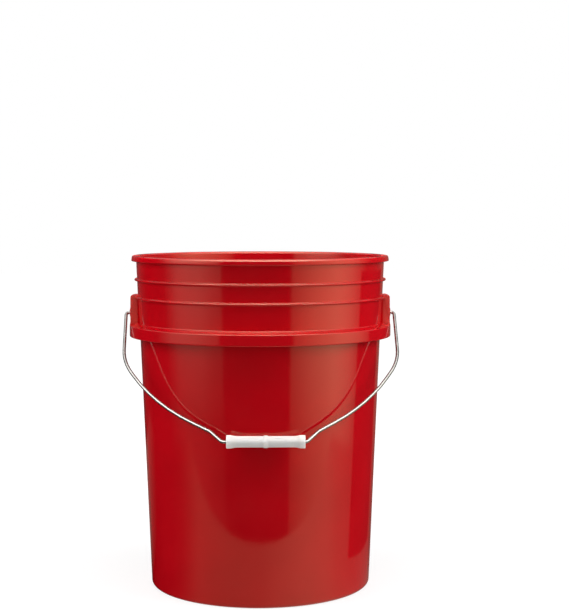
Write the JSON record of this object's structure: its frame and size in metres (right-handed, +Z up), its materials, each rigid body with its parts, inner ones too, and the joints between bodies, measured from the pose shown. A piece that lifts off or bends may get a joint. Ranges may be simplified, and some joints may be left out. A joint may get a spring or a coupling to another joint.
{
  "type": "plastic fermenting bucket",
  "caption": "Tall open-top plastic bucket with a rolled rim, ribbed neck and skirt ring, carried by a swinging wire handle with a roller grip.",
  "frame": {"origin": "centre of the circle that the foot ring stands on", "axes": "+Z up the pail's axis, +X along the handle's hinge axis, -Y to the front, where the handle hangs"},
  "size_m": [0.3199, 0.307, 0.388],
  "materials": {
    "red_polyethylene": "gloss",
    "zinc_plated_wire": "satin",
    "white_polypropylene": "satin"
  },
  "bodies": {
    "pail": {"pail": "red_polyethylene"},
    "bail": {"bail": "zinc_plated_wire"},
    "grip": {"grip": "white_polypropylene"}
  },
  "joints": [
    {"name": "bail_swing", "type": "hinge", "parent": "pail", "child": "bail", "pos_m": [0, 0, 0.3205], "axis": [-1, 0, 0], "range_deg": [0, 264]},
    {"name": "grip_spin", "type": "hinge", "parent": "bail", "child": "grip", "pos_m": [0.0058, -0.14399, 0.18949], "axis": [1, 0, 0], "continuous": true}
  ]
}
